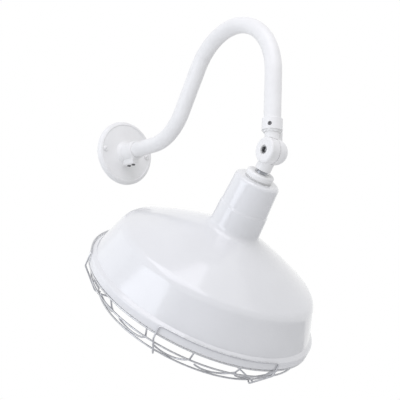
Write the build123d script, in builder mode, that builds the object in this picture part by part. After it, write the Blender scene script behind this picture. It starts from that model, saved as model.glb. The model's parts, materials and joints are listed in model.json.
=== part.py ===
"""Outdoor gooseneck wall light: wall plate, bent pipe arm, swivel knuckle, spun shade and wire guard.

Frame in millimetres: the wall is the plane y = 0, the light stands out to -Y, +Z is up and the origin is
the middle of the wall plate's back. The head (everything below the knuckle) is drawn on its own tilted
axis: s is measured down that axis from the swivel's pivot.
"""
import os
from math import acos, atan2, cos, radians, sin, tan

from build123d import *

# Wall plate
plate_diameter = 114.3
plate_thickness = 8.5
plate_rim = 6.0
screw_spacing = 88.9
screw_diameter = 4.2
shank_diameter = 3.8
screw_clearance = 0.3
screw_reach = 16.0
gasket_thickness = 2.0
gasket_hole_diameter = 9.0
hub_diameter = 33.0
hub_reach = 42.0
lug_width = 12.6
lug_drop = 25.0

# Gooseneck pipe
pipe_diameter = 26.67
pipe_wall = 2.87
pipe_start = 14.0
straight_end = 94.0
rise_angle = 59.0
lower_bend = 88.0
upper_bend = 101.0
drop_reach = 398.0
seat_clearance = 0.1
set_screw_diameter = 6.35
set_screw_proud = 1.8

# Swivel knuckle
pivot_height = -65.5
collar_diameter = 32.0
collar_top = 51.0
collar_bottom = 32.5
collar_ring_diameter = 27.0
collar_ring_height = 3.2
rib_width = 7.0
rib_proud = 2.3
upper_neck_diameter = 22.5
knuckle_radius = 20.0
dome_reach = 26.0
boss_reach = 16.5
swing_gap = 0.3
washer_thickness = 1.2
bolt_diameter = 8.0
bolt_head_diameter = 14.0
lower_neck_diameter = 25.0
lower_neck_end = 31.0
passage_radius = 13.6
boss_core_radius = 7.4

# Head, measured down its axis from the pivot
tilt = 37.2
nipple_diameter = 21.3
hub_cap_start = 36.5
hub_cap_end = 46.5
hub_cap_diameter = 44.0
seal_thickness = 1.5
seal_inset = 3.5
shade_height = 217.8
sheet = 1.6
neck_top_radius = 36.2
neck_bottom_radius = 40.5
neck_height = 89.0
dome_radius = 106.0
dome_height = 101.0
shoulder_height = 73.3
skirt_flare = 19.4
ledge_width = 6.8
step_height = 17.0
rim_radius = 189.5
rim_face = 12.8
rim_corner = 4.0
rim_lip = 9.0

# Lampholder
holder_diameter = 44.0
holder_length = 54.0
shell_radius = 13.3
shell_wall = 0.8
shell_length = 26.0

# Wire guard: insets from the rim's radius, depths below the rim, angles from the front towards +X
wire = 2.7
weld_gap = 0.2
seat_inset = 2.0
ring_a_inset = 12.5
ring_a_depth = 20.0
ring_b_inset = 32.5
ring_b_depth = 40.0
ring_c_radius = 95.0
ring_d_radius = 36.0
spoke_first = 10.0
hairpin_count = 15
hairpin_first = -45.2
hairpin_end = -50.0
bail_first = -22.5
bail_half_angle = 30.0
bail_knee = 8.0
bail_toe = 5.0
bail_hook_radius = 4.0
bail_hook_end = 75.0
catch_angle = 52.0

os.makedirs("parts", exist_ok=True)

pipe_radius = pipe_diameter / 2
bore_radius = pipe_radius + seat_clearance
wire_radius = wire / 2
lean = radians(tilt)
pivot = Vector(0, -drop_reach, pivot_height)
down = Vector(0, sin(lean), -cos(lean))
up = Vector(0, -sin(lean), cos(lean))
head_axis = Axis(pivot, up)
wall_axis = Axis((0, 0, 0), (0, -1, 0))

# Sketch planes: the wall plate's half profile, and the head's half profile (x = radius, y = -s)
plate_profile = Plane(origin=(0, 0, 0), x_dir=(1, 0, 0), z_dir=(0, 0, -1))
head_profile = Plane(origin=pivot, x_dir=(1, 0, 0), z_dir=(0, -cos(lean), -sin(lean)))
shade_top = hub_cap_end + seal_thickness
rim_station = shade_top + shade_height
rim_frame = Plane(origin=pivot + down * rim_station, x_dir=(1, 0, 0), z_dir=up)


def wall_plane(reach):
    """Plane parallel to the wall, facing out, at a distance from it."""
    return Plane(origin=(0, -reach, 0), x_dir=(1, 0, 0), z_dir=(0, -1, 0))


def cross_plane(station):
    """Plane across the head's axis, facing down out of the mouth, s below the pivot."""
    return Plane(origin=pivot + down * station, x_dir=(1, 0, 0), z_dir=down)


def side_plane(offset):
    """Plane across the swivel's pin at a distance from the middle, facing +X."""
    return Plane(origin=pivot + Vector(offset, 0, 0), x_dir=(0, 1, 0), z_dir=(1, 0, 0))


def head_ring(inner, outer, start, end):
    """Half section of a plain ring on the head's axis."""
    return [(inner, -start), (outer, -start), (outer, -end), (inner, -end)]


def bent_line(points, radii):
    """Lines through the points with a round bend at each corner, as large as the runs beside it allow."""
    spots = [Vector(*point) for point in points]
    shares = [0.9] + [0.45] * (len(spots) - 3) + [0.9]
    start = spots[0]
    for number, radius in enumerate(radii):
        before, corner, after = spots[number : number + 3]
        back = (before - corner).normalized()
        ahead = (after - corner).normalized()
        half = radians(back.get_angle(ahead)) / 2
        room = min((before - corner).length * shares[number], (after - corner).length * shares[number + 1])
        reach = min(radius * cos(half) / sin(half), room)
        bend = reach * tan(half)
        middle = corner + (back + ahead).normalized() * (bend / sin(half) - bend)
        Line(start, corner + back * reach)
        ThreePointArc(corner + back * reach, middle, corner + ahead * reach)
        start = corner + ahead * reach
    Line(start, spots[-1])


# Wall gasket
with BuildPart() as wall_gasket:
    with BuildSketch(wall_plane(0)):
        Circle(plate_diameter / 2 - 2)
        Circle(pipe_radius + 8, mode=Mode.SUBTRACT)
        with Locations((-screw_spacing / 2, 0), (screw_spacing / 2, 0)):
            Circle(gasket_hole_diameter / 2, mode=Mode.SUBTRACT)
    extrude(amount=gasket_thickness)
wall_gasket.part.label = "wall_gasket"
export_step(wall_gasket.part, "parts/wall_gasket.step")

# Wall plate: dished disc, hub for the pipe and the lug with the two set screws
plate_face = gasket_thickness + plate_thickness - 1.5
set_screw_stations = (20.0, 33.0)
with BuildPart() as wall_plate:
    with BuildSketch(plate_profile) as section:
        with BuildLine():
            Polyline(
                (pipe_radius - 3, gasket_thickness),
                (plate_diameter / 2, gasket_thickness),
                (plate_diameter / 2, gasket_thickness + plate_thickness - 5),
                (plate_diameter / 2 - 2.5, gasket_thickness + plate_thickness - 1.2),
                (plate_diameter / 2 - plate_rim, gasket_thickness + plate_thickness),
                (plate_diameter / 2 - plate_rim - 1.5, plate_face),
                (hub_diameter / 2 + 5, plate_face),
                (hub_diameter / 2, plate_face + 5),
                (hub_diameter / 2, hub_reach - 1.5),
                (hub_diameter / 2 - 1.5, hub_reach),
                (bore_radius, hub_reach),
                (bore_radius, pipe_start - 0.2),
                (pipe_radius - 3, pipe_start - 0.2),
                close=True,
            )
        make_face()
        fillet(section.vertices().sort_by(Axis.X)[-4:].sort_by(Axis.Y)[1:], 1.2)
    revolve(axis=wall_axis)
    with BuildSketch(wall_plane(plate_face - 0.5)) as lug:
        with Locations((0, -lug_drop / 2)):
            Rectangle(lug_width, lug_drop)
        fillet(lug.vertices().group_by(Axis.Y)[0], 4)
    extrude(amount=hub_reach - plate_face - 2)
    with BuildSketch(wall_plane(pipe_start - 0.2)):
        Circle(bore_radius)
    extrude(amount=hub_reach, mode=Mode.SUBTRACT)
    with BuildSketch(wall_plane(0)):
        Circle(pipe_radius - 3)
    extrude(amount=hub_reach, mode=Mode.SUBTRACT)
    with BuildSketch(Plane.XY.offset(-lug_drop - 1)):
        with Locations(*[(0, -station) for station in set_screw_stations]):
            Circle(set_screw_diameter / 2 + 0.1)
    extrude(amount=lug_drop, mode=Mode.SUBTRACT)
    with BuildSketch(wall_plane(0)):
        with Locations((-screw_spacing / 2, 0), (screw_spacing / 2, 0)):
            Circle(screw_diameter / 2 + screw_clearance)
    extrude(amount=plate_face + 2, mode=Mode.SUBTRACT)
    with BuildSketch(wall_plane(plate_face)):
        with Locations((-screw_spacing / 2, 0), (screw_spacing / 2, 0)):
            Circle(screw_diameter + screw_clearance)
    extrude(amount=plate_thickness, mode=Mode.SUBTRACT)
wall_plate.part.label = "wall_plate"
export_step(wall_plate.part, "parts/wall_plate.step")

# Wall screws, two alike: threaded end in the wall, plain shank through the plate, slotted round head
with BuildPart() as wall_screws:
    with BuildSketch(wall_plane(-screw_reach)):
        with Locations((-screw_spacing / 2, 0), (screw_spacing / 2, 0)):
            Circle(screw_diameter / 2)
    extrude(amount=screw_reach)
    with BuildSketch(wall_plane(0)):
        with Locations((-screw_spacing / 2, 0), (screw_spacing / 2, 0)):
            Circle(shank_diameter / 2)
    extrude(amount=plate_face + 1)
    with BuildSketch(wall_plane(plate_face)):
        with Locations((-screw_spacing / 2, 0), (screw_spacing / 2, 0)):
            Circle(screw_diameter)
    extrude(amount=3.2)
    fillet(wall_screws.edges().filter_by(GeomType.CIRCLE).group_by(Axis.Y)[0], 1.6)
    with BuildSketch(wall_plane(plate_face + 1.8)):
        with Locations((-screw_spacing / 2, 0), (screw_spacing / 2, 0)):
            Rectangle(screw_diameter * 2.2, 1.1, rotation=35)
    extrude(amount=3, mode=Mode.SUBTRACT)
wall_screws.part.label = "wall_screws"
export_step(wall_screws.part, "parts/wall_screws.step")

# Arm set screws, two alike, cup end against the pipe and socket end proud of the lug
set_screw_foot = -lug_drop - set_screw_proud
with BuildPart() as arm_set_screws:
    with BuildSketch(Plane.XY.offset(set_screw_foot)):
        with Locations(*[(0, -station) for station in set_screw_stations]):
            Circle(set_screw_diameter / 2)
    extrude(amount=-set_screw_foot - bore_radius)
    chamfer(arm_set_screws.edges().filter_by(GeomType.CIRCLE).group_by(Axis.Z)[0], 0.5)
    with BuildSketch(Plane.XY.offset(set_screw_foot)):
        with Locations(*[(0, -station) for station in set_screw_stations]):
            RegularPolygon(1.85, 6)
    extrude(amount=3.5, mode=Mode.SUBTRACT)
arm_set_screws.part.label = "arm_set_screws"
export_step(arm_set_screws.part, "parts/arm_set_screws.step")

# Gooseneck arm: one pipe bent up, over and down
turn = radians(rise_angle)
first_end = Vector(0, -straight_end - lower_bend * sin(turn), lower_bend * (1 - cos(turn)))
rise = Vector(0, -cos(turn), sin(turn))
rise_length = (drop_reach - upper_bend - upper_bend * sin(turn) + first_end.Y) / cos(turn)
second_start = first_end + rise * rise_length
crown = second_start + Vector(0, -sin(turn), -cos(turn)) * upper_bend
pipe_end = pivot_height + collar_bottom + 2.5
with BuildPart() as gooseneck_arm:
    with BuildLine() as centre_line:
        Line((0, -pipe_start, 0), (0, -straight_end, 0))
        ThreePointArc(
            (0, -straight_end, 0),
            (0, -straight_end - lower_bend * sin(turn / 2), lower_bend * (1 - cos(turn / 2))),
            first_end,
        )
        Line(first_end, second_start)
        ThreePointArc(second_start, crown + Vector(0, 0, upper_bend), crown + Vector(0, -upper_bend, 0))
        Line(crown + Vector(0, -upper_bend, 0), (0, -drop_reach, pipe_end))
    with BuildSketch(wall_plane(pipe_start)):
        Circle(pipe_radius)
        Circle(pipe_radius - pipe_wall, mode=Mode.SUBTRACT)
    sweep()
gooseneck_arm.part.label = "gooseneck_arm"
export_step(gooseneck_arm.part, "parts/gooseneck_arm.step")

# Upper half of the swivel: pipe collar with a rib, neck and the domed half with the bolt's thread
collar_screw_way = Vector(-0.83, -0.557, 0)
washer_face = washer_thickness - swing_gap / 2
knuckle_profile = Plane(origin=pivot, x_dir=(1, 0, 0), z_dir=(0, -1, 0))
rib_face = collar_diameter / 2 + rib_proud
with BuildPart() as knuckle_upper:
    with BuildSketch(Plane(origin=pivot)):
        Circle(upper_neck_diameter / 2)
    extrude(amount=collar_bottom + 1)
    with BuildSketch(side_plane(-boss_reach - 1)):
        Circle(knuckle_radius + swing_gap)
    extrude(amount=boss_reach + 1 + washer_face, mode=Mode.SUBTRACT)
    with BuildSketch(knuckle_profile):
        with BuildLine():
            corner = dome_reach - knuckle_radius
            Line((washer_face, 0), (washer_face, knuckle_radius))
            Line((washer_face, knuckle_radius), (corner, knuckle_radius))
            RadiusArc((corner, knuckle_radius), (dome_reach, 0), knuckle_radius)
            Line((dome_reach, 0), (washer_face, 0))
        make_face()
    revolve(axis=Axis(pivot, (1, 0, 0)))
    with BuildSketch(Plane(origin=pivot + Vector(0, 0, collar_bottom))):
        Circle(collar_diameter / 2)
    extrude(amount=collar_top - collar_bottom)
    fillet(knuckle_upper.edges().filter_by(GeomType.CIRCLE).group_by(Axis.Z)[-1], 1.2)
    with BuildSketch(Plane(origin=pivot + Vector(0, 0, collar_bottom - collar_ring_height))):
        Circle(collar_ring_diameter / 2)
    extrude(amount=collar_ring_height)
    with BuildSketch(knuckle_profile):
        Polygon(
            (upper_neck_diameter / 2 - 2, knuckle_radius / 2),
            (rib_face, knuckle_radius / 2),
            (rib_face, collar_top - 7),
            (rib_face - 2.5, collar_top - 3),
            (upper_neck_diameter / 2 - 2, collar_top - 3),
            align=None,
        )
    extrude(amount=rib_width / 2, both=True)
    with BuildSketch(Plane(origin=pivot + Vector(0, 0, collar_bottom + 2.4))):
        Circle(bore_radius)
    extrude(amount=collar_top, mode=Mode.SUBTRACT)
    with BuildSketch(side_plane(washer_face)):
        Circle(passage_radius)
        Circle(boss_core_radius, mode=Mode.SUBTRACT)
    extrude(amount=6.5, mode=Mode.SUBTRACT)
    with BuildSketch(Plane(origin=pivot + Vector(4.8, 0, knuckle_radius / 2))):
        Circle(2.9)
    extrude(amount=collar_top, mode=Mode.SUBTRACT)
    with BuildSketch(side_plane(0)):
        Circle(bolt_diameter / 2 + 0.05)
    extrude(amount=15, mode=Mode.SUBTRACT)
    with BuildSketch(Plane(origin=pivot + Vector(0, 0, collar_top - 11), z_dir=collar_screw_way)):
        Circle(set_screw_diameter / 2 + 0.1)
    extrude(amount=collar_diameter, mode=Mode.SUBTRACT)
knuckle_upper.part.label = "knuckle_upper"
export_step(knuckle_upper.part, "parts/knuckle_upper.step")

# Set screw of the collar, just below flush
collar_seat = pivot + Vector(0, 0, collar_top - 11) + collar_screw_way * (pipe_radius + 0.05)
with BuildPart() as collar_set_screw:
    with BuildSketch(Plane(origin=collar_seat, z_dir=collar_screw_way)):
        Circle(set_screw_diameter / 2)
    extrude(amount=2.4)
    with BuildSketch(Plane(origin=collar_seat + collar_screw_way * 1.0, z_dir=collar_screw_way)):
        RegularPolygon(1.85, 6)
    extrude(amount=3, mode=Mode.SUBTRACT)
collar_set_screw.part.label = "collar_set_screw"
export_step(collar_set_screw.part, "parts/collar_set_screw.step")

# Friction washer between the two halves of the swivel
with BuildPart() as friction_washer:
    with BuildSketch(side_plane(-swing_gap / 2)):
        Circle(knuckle_radius - 0.8)
        Circle(passage_radius + 0.4, mode=Mode.SUBTRACT)
    extrude(amount=washer_thickness)
friction_washer.part.label = "friction_washer"
export_step(friction_washer.part, "parts/friction_washer.step")

# Swivel bolt: socket head, pin for the lower half, end threaded into the dome
head_floor = -boss_reach + 7.4
with BuildPart() as knuckle_bolt:
    with BuildSketch(side_plane(head_floor - 6.4)):
        Circle(bolt_head_diameter / 2)
    extrude(amount=6.4)
    chamfer(knuckle_bolt.edges().filter_by(GeomType.CIRCLE).group_by(Axis.X)[0], 0.6)
    with BuildSketch(side_plane(head_floor)):
        Circle(bolt_diameter / 2)
    extrude(amount=14 - head_floor)
    with BuildSketch(side_plane(head_floor - 6.4)):
        RegularPolygon(4.4, 6)
    extrude(amount=4.2, mode=Mode.SUBTRACT)
knuckle_bolt.part.label = "knuckle_bolt"
export_step(knuckle_bolt.part, "parts/knuckle_bolt.step")

# Lower half of the swivel: flat-faced boss that turns on the bolt, neck with the nipple's thread
lower_face = -swing_gap * 1.5
with BuildPart() as knuckle_lower:
    with BuildSketch(cross_plane(0)):
        Circle(lower_neck_diameter / 2)
    extrude(amount=lower_neck_end)
    with BuildSketch(side_plane(lower_face)):
        Circle(knuckle_radius + swing_gap + 0.1)
    extrude(amount=dome_reach + 2, mode=Mode.SUBTRACT)
    with BuildSketch(side_plane(lower_face)):
        Circle(knuckle_radius)
    extrude(amount=-boss_reach - lower_face)
    fillet(knuckle_lower.edges().filter_by(GeomType.CIRCLE).group_by(Axis.X)[0], 3.5)
    with BuildSketch(side_plane(-boss_reach - 1)):
        Circle(bolt_head_diameter / 2 + 0.4)
    extrude(amount=boss_reach + 1 + head_floor + swing_gap, mode=Mode.SUBTRACT)
    with BuildSketch(side_plane(-boss_reach)):
        Circle(bolt_diameter / 2 + swing_gap)
    extrude(amount=boss_reach * 2, mode=Mode.SUBTRACT)
    with BuildSketch(side_plane(lower_face)):
        Circle(passage_radius)
        Circle(boss_core_radius, mode=Mode.SUBTRACT)
    extrude(amount=-5.5, mode=Mode.SUBTRACT)
    with BuildSketch(cross_plane(knuckle_radius + 3)):
        Circle(nipple_diameter / 2 + 0.05)
    extrude(amount=lower_neck_end, mode=Mode.SUBTRACT)
    with BuildSketch(cross_plane(knuckle_radius / 2)):
        with Locations((-3.4, 0)):
            Circle(2.4)
    extrude(amount=lower_neck_end, mode=Mode.SUBTRACT)
knuckle_lower.part.label = "knuckle_lower"
export_step(knuckle_lower.part, "parts/knuckle_lower.step")

# Threaded nipple from the swivel down through the shade's top
nipple_start = knuckle_radius + 3.2
socket_cap_start = shade_top + sheet + 7.5
nipple_end = socket_cap_start + 5
with BuildPart() as nipple:
    with BuildSketch(head_profile):
        Polygon(
            *head_ring(nipple_diameter / 2 - 2.8, nipple_diameter / 2, nipple_start, nipple_end),
            align=None,
        )
    revolve(axis=head_axis)
    chamfer(nipple.edges().filter_by(GeomType.CIRCLE).group_by(Axis.Z)[0].sort_by(SortBy.RADIUS)[-1], 0.6)
nipple.part.label = "nipple"
export_step(nipple.part, "parts/nipple.step")

# Hub cap that clamps the shade from above
with BuildPart() as hub_cap:
    with BuildSketch(head_profile) as section:
        Polygon(
            *head_ring(nipple_diameter / 2 + 0.1, hub_cap_diameter / 2, hub_cap_start, hub_cap_end),
            align=None,
        )
        fillet(section.vertices().group_by(Axis.X)[-1], 3)
    revolve(axis=head_axis)
hub_cap.part.label = "hub_cap"
export_step(hub_cap.part, "parts/hub_cap.step")

# Rubber seal between the hub cap and the shade
with BuildPart() as hub_seal:
    with BuildSketch(head_profile):
        Polygon(
            *head_ring(nipple_diameter / 2 + 0.1, hub_cap_diameter / 2 - seal_inset, hub_cap_end, shade_top),
            align=None,
        )
    revolve(axis=head_axis)
hub_seal.part.label = "hub_seal"
export_step(hub_seal.part, "parts/hub_seal.step")

# Shade: one spun shell with neck, bead, dome, skirt, sloped ledge and turned-in rim
top = -shade_top
foot = -rim_station
neck_foot = top - neck_height
bead = top - neck_height * 0.56
bead_radius = neck_top_radius + (neck_bottom_radius - neck_top_radius) * 0.45
skirt_radius = rim_radius - ledge_width
with BuildPart() as shade:
    with BuildSketch(head_profile):
        with BuildLine():
            bent_line(
                [
                    (nipple_diameter / 2 + 0.2, top),
                    (neck_top_radius, top),
                    (bead_radius, bead + 1.6),
                    (bead_radius + 1.2, bead - 1.6),
                    (neck_bottom_radius, neck_foot),
                    (dome_radius, foot + dome_height),
                    (skirt_radius - skirt_flare, foot + shoulder_height),
                    (skirt_radius, foot + step_height),
                    (rim_radius, foot + rim_face),
                    (rim_radius, foot),
                    (rim_radius - rim_lip, foot),
                ],
                [6, 2.5, 2.5, 9, 400, 24, 2, rim_corner, 3],
            )
            offset(amount=sheet, side=Side.RIGHT)
        make_face()
    revolve(axis=head_axis)
shade.part.label = "shade"
export_step(shade.part, "parts/shade.step")

# Lock nut under the shade's top
with BuildPart() as hub_lock_nut:
    with BuildSketch(cross_plane(shade_top + sheet)):
        RegularPolygon(18, 6)
        Circle(nipple_diameter / 2 + 0.1, mode=Mode.SUBTRACT)
    extrude(amount=5)
hub_lock_nut.part.label = "hub_lock_nut"
export_step(hub_lock_nut.part, "parts/hub_lock_nut.step")

# Socket cap threaded on the nipple
holder_radius = holder_diameter / 2
cap_skirt = socket_cap_start + 14
cap_screw_station = cap_skirt - 5
terminal_station = cap_skirt + 6


def screw_plane(station, way, reach):
    """Plane across a screw in the lampholder's side, facing out, at a distance from the head's axis."""
    return Plane(origin=pivot + down * station + way * reach, z_dir=way)


with BuildPart() as socket_cap:
    with BuildSketch(head_profile):
        with BuildLine():
            Polyline(
                (nipple_diameter / 2 + 0.1, -socket_cap_start),
                (holder_radius - 3, -socket_cap_start),
                (holder_radius, -socket_cap_start - 3),
                (holder_radius, -cap_skirt),
                (holder_radius - 1.5, -cap_skirt),
                (holder_radius - 1.5, -socket_cap_start - 4),
                (nipple_diameter / 2 + 0.1, -socket_cap_start - 4),
                close=True,
            )
        make_face()
    revolve(axis=head_axis)
    for side in (-1, 1):
        with BuildSketch(screw_plane(cap_screw_station, Vector(side, 0, 0), 0)):
            Circle(2.2)
        extrude(amount=holder_radius + 2, mode=Mode.SUBTRACT)
socket_cap.part.label = "socket_cap"
export_step(socket_cap.part, "parts/socket_cap.step")

# Porcelain lampholder
holder_start = socket_cap_start + 6
holder_end = holder_start + holder_length
shell_start = holder_end - shell_length - 1
with BuildPart() as lampholder:
    with BuildSketch(head_profile):
        with BuildLine():
            Polyline(
                (0, -holder_start),
                (holder_radius - 1.7, -holder_start),
                (holder_radius - 1.7, -cap_skirt - 0.2),
                (holder_radius, -cap_skirt - 0.2),
                (holder_radius + 1, -holder_end + 4),
                (holder_radius - 1, -holder_end),
                (shell_radius + shell_wall + 0.1, -holder_end),
                (shell_radius + shell_wall + 0.1, -shell_start + 1.2),
                (5.2, -shell_start + 1.2),
                (5.2, -shell_start + 4),
                (0, -shell_start + 4),
                close=True,
            )
        make_face()
    revolve(axis=head_axis)
    for side in (-1, 1):
        with BuildSketch(screw_plane(cap_screw_station, Vector(side, 0, 0), 0)):
            Circle(2.0)
        extrude(amount=holder_radius + 2, mode=Mode.SUBTRACT)
        with BuildSketch(screw_plane(terminal_station, head_profile.z_dir * side, 0)):
            Circle(2.0)
        extrude(amount=holder_radius + 3, mode=Mode.SUBTRACT)
lampholder.part.label = "lampholder"
export_step(lampholder.part, "parts/lampholder.step")

# Screw shell of the lampholder
with BuildPart() as screw_shell:
    with BuildSketch(head_profile):
        with BuildLine():
            Polyline(
                (6.5, -shell_start + 1),
                (shell_radius + shell_wall, -shell_start + 1),
                (shell_radius + shell_wall, -holder_end + 0.5),
                (shell_radius, -holder_end + 0.5),
                (shell_radius, -shell_start),
                (6.5, -shell_start),
                close=True,
            )
        make_face()
    revolve(axis=head_axis)
screw_shell.part.label = "screw_shell"
export_step(screw_shell.part, "parts/screw_shell.step")

# Centre contact, a sprung stud in the holder's floor
with BuildPart() as centre_contact:
    with BuildSketch(head_profile) as section:
        Polygon(*head_ring(0, 4.8, shell_start - 3.9, shell_start), align=None)
        chamfer(section.vertices().group_by(Axis.X)[-1].sort_by(Axis.Y)[0], 1)
    revolve(axis=head_axis)
centre_contact.part.label = "centre_contact"
export_step(centre_contact.part, "parts/centre_contact.step")

# Two screws that hold the lampholder in its cap
with BuildPart() as cap_screws:
    for side in (-1, 1):
        way = Vector(side, 0, 0)
        with BuildSketch(screw_plane(cap_screw_station, way, holder_radius - 8)):
            Circle(1.95)
        extrude(amount=8)
        with BuildSketch(screw_plane(cap_screw_station, way, holder_radius)):
            Circle(3.6)
        extrude(amount=2.2)
cap_screws.part.label = "cap_screws"
export_step(cap_screws.part, "parts/cap_screws.step")

# Two terminal screws in the lampholder's sides
with BuildPart() as terminal_screws:
    for side in (-1, 1):
        way = head_profile.z_dir * side
        with BuildSketch(screw_plane(terminal_station, way, holder_radius - 10)):
            Circle(1.95)
        extrude(amount=10.5)
        with BuildSketch(screw_plane(terminal_station, way, holder_radius + 0.5)):
            Circle(3.4)
        extrude(amount=2.2)
terminal_screws.part.label = "terminal_screws"
export_step(terminal_screws.part, "parts/terminal_screws.step")


def guard_ring(radius, depth):
    """Round wire ring of the guard on the rim's frame, added to the open part."""
    with Locations(rim_frame.location * Pos(0, 0, -depth)):
        Torus(radius, wire_radius)


# Guard rings: seat ring under the rim, two side rings, two bottom rings
seat_ring_radius = rim_radius - seat_inset
ring_a_radius = rim_radius - ring_a_inset
ring_b_radius = rim_radius - ring_b_inset
with BuildPart() as guard_seat_ring:
    guard_ring(seat_ring_radius, wire_radius + weld_gap)
guard_seat_ring.part.label = "guard_seat_ring"
export_step(guard_seat_ring.part, "parts/guard_seat_ring.step")

with BuildPart() as guard_ring_a:
    guard_ring(ring_a_radius, ring_a_depth)
guard_ring_a.part.label = "guard_ring_a"
export_step(guard_ring_a.part, "parts/guard_ring_a.step")

with BuildPart() as guard_ring_b:
    guard_ring(ring_b_radius, ring_b_depth)
guard_ring_b.part.label = "guard_ring_b"
export_step(guard_ring_b.part, "parts/guard_ring_b.step")

with BuildPart() as guard_ring_c:
    guard_ring(ring_c_radius, ring_b_depth)
guard_ring_c.part.label = "guard_ring_c"
export_step(guard_ring_c.part, "parts/guard_ring_c.step")

with BuildPart() as guard_ring_d:
    guard_ring(ring_d_radius, ring_b_depth)
guard_ring_d.part.label = "guard_ring_d"
export_step(guard_ring_d.part, "parts/guard_ring_d.step")

# Three bottom spokes under the rings
spoke_start = Pos(ring_d_radius - wire, 0, -ring_b_depth - wire - weld_gap) * Rot(0, 90, 0)
with BuildPart() as guard_spokes:
    for number in range(3):
        around = Rot(0, 0, spoke_first - 90 + 120 * number)
        with BuildSketch(Plane(rim_frame.location * around * spoke_start)):
            Circle(wire_radius)
        extrude(amount=ring_b_radius - ring_d_radius + 1.5 * wire)
guard_spokes.part.label = "guard_spokes"
export_step(guard_spokes.part, "parts/guard_spokes.step")

# Hairpins: bent wires that hang from the seat ring by one leg and carry rings A and B on their outside
half_pitch = 180 / hairpin_count
leg_angle = radians(half_pitch - 0.65)
slope = Vector(ring_b_radius - ring_a_radius, ring_b_depth - ring_a_depth, 0).normalized()
inside = Vector(-slope.Y, slope.X, 0) * (wire + weld_gap)
leg_top = (seat_ring_radius - wire - weld_gap, wire_radius)
leg_foot = (ring_a_radius + inside.X - 0.6, ring_a_depth + inside.Y + 0.4)
loop_foot = (ring_b_radius + inside.X, ring_b_depth + inside.Y)


def on_guard(spot, angle):
    """Point of the guard from its radius and depth below the rim and the angle about the head's axis."""
    return Vector(spot[0] * cos(angle), spot[0] * sin(angle), -spot[1])


def on_loop(part):
    """Point of the hairpin's round end, part running from 90 at the leg through 0 at ring B."""
    share = cos(radians(part))
    spot = [start + (end - start) * share for start, end in zip(leg_foot, loop_foot)]
    return on_guard(spot, leg_angle * sin(radians(part)))


leg_way = on_loop(90) - on_guard(leg_top, leg_angle)
end_way = on_loop(hairpin_end) - on_loop(hairpin_end + 1)
with BuildPart() as hairpin:
    with BuildLine() as loop:
        Line(on_guard(leg_top, leg_angle), on_loop(90))
        Spline(
            *[on_loop(90 + (hairpin_end - 90) * share / 5) for share in range(6)],
            tangents=[leg_way.normalized(), end_way.normalized()],
        )
    with BuildSketch(Plane(origin=loop.line @ 0, z_dir=loop.line % 0)):
        Circle(wire_radius)
    sweep()

with BuildPart() as guard_hairpins:
    for number in range(hairpin_count):
        with Locations(rim_frame.location * Rot(0, 0, hairpin_first - 90 + 2 * half_pitch * number)):
            add(hairpin.part)
guard_hairpins.part.label = "guard_hairpins"
export_step(guard_hairpins.part, "parts/guard_hairpins.step")

# Bails: spring wire latches hooked round ring B that snap over the rounded top corner of the rim
bail_turn = radians(bail_half_angle)
hinge_out = ring_b_radius * cos(bail_turn)
hinge_side = ring_b_radius * sin(bail_turn)
ledge_slope = atan2(step_height - rim_face, ledge_width)
corner_height = rim_face + rim_corner * (tan(ledge_slope) - 1 / cos(ledge_slope))
catch = rim_corner + wire_radius + swing_gap
catch_radius = rim_radius - rim_corner + catch * sin(radians(catch_angle))
catch_depth = -corner_height - catch * cos(radians(catch_angle))
leg_radius = rim_radius + wire_radius + 0.8
catch_turn = bail_turn - acos(catch_radius / leg_radius)


def bail_spots(side):
    """Corners of one leg, from the end of the catch down to the underside of ring B."""
    return [
        on_guard((catch_radius, catch_depth), side * catch_turn),
        on_guard((leg_radius, catch_depth), side * bail_turn),
        on_guard((leg_radius, bail_knee), side * bail_turn),
        Vector(hinge_out + bail_toe, side * hinge_side, -ring_b_depth - bail_hook_radius),
        Vector(hinge_out, side * hinge_side, -ring_b_depth - bail_hook_radius),
    ]


def hook_spot(side, angle):
    """Point of the hook round ring B, angle measured from its underside towards the middle."""
    inward = bail_hook_radius * sin(radians(angle))
    below = bail_hook_radius * cos(radians(angle))
    return Vector(hinge_out - inward, side * hinge_side, -ring_b_depth - below)


with BuildPart() as bail:
    with BuildLine() as bail_path:
        ThreePointArc(hook_spot(-1, bail_hook_end), hook_spot(-1, bail_hook_end / 2), hook_spot(-1, 0))
        bent_line(bail_spots(-1)[::-1], [5, 6, 5])
        ThreePointArc(bail_spots(-1)[0], on_guard((catch_radius, catch_depth), 0), bail_spots(1)[0])
        bent_line(bail_spots(1), [5, 6, 5])
        ThreePointArc(hook_spot(1, 0), hook_spot(1, bail_hook_end / 2), hook_spot(1, bail_hook_end))
    with BuildSketch(Plane(origin=bail_path.line @ 0, z_dir=bail_path.line % 0)):
        Circle(wire_radius)
    sweep()

bail_places = [rim_frame.location * Rot(0, 0, bail_first - 90 + 120 * number) for number in range(3)]

with BuildPart() as guard_bail_1:
    with Locations(bail_places[0]):
        add(bail.part)
guard_bail_1.part.label = "guard_bail_1"
export_step(guard_bail_1.part, "parts/guard_bail_1.step")

with BuildPart() as guard_bail_2:
    with Locations(bail_places[1]):
        add(bail.part)
guard_bail_2.part.label = "guard_bail_2"
export_step(guard_bail_2.part, "parts/guard_bail_2.step")

with BuildPart() as guard_bail_3:
    with Locations(bail_places[2]):
        add(bail.part)
guard_bail_3.part.label = "guard_bail_3"
export_step(guard_bail_3.part, "parts/guard_bail_3.step")
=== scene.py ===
"""Gooseneck wall light: enamelled shade, powder-coated arm and galvanised guard around the packed model.

Everything is in metres in the model's own frame: the wall is y = 0, the light stands out to -Y, +Z is up.
The head is drawn on its own axis, which is tilted about the swivel's pin.
"""
import json
from math import acos, atan2, cos, pi, radians, sin, tan

import bmesh
import bpy
from bpy.props import FloatProperty, FloatVectorProperty, IntProperty, PointerProperty
from mathutils import Matrix, Vector


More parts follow.
